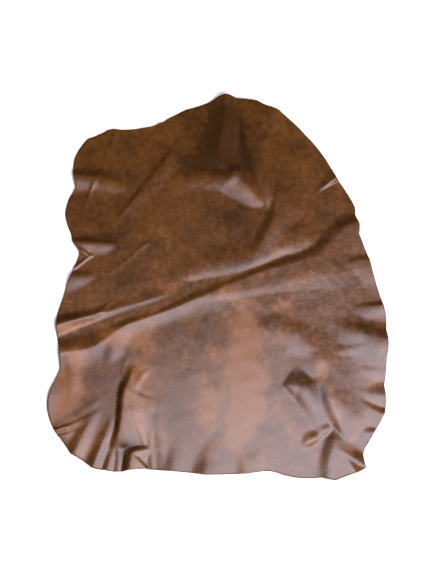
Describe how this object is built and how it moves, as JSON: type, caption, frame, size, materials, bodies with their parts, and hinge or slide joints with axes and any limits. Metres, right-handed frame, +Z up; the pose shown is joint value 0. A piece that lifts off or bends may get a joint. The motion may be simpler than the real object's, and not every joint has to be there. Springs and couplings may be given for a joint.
{
  "type": "leather hide",
  "caption": "Whole small tanned hide with a lobed natural outline, lying grain side up in low creases and folds.",
  "frame": {"origin": "middle of the hide's footprint, on the surface that it rests on", "axes": "+Y from the rump to the neck, +Z up out of the grain side, +X to the right seen from above"},
  "size_m": [0.7726, 0.992, 0.0124],
  "materials": {
    "leather": "waxed brown grain leather with a soft sheen"
  },
  "bodies": {
    "root": {"hide": "leather"}
  },
  "joints": []
}
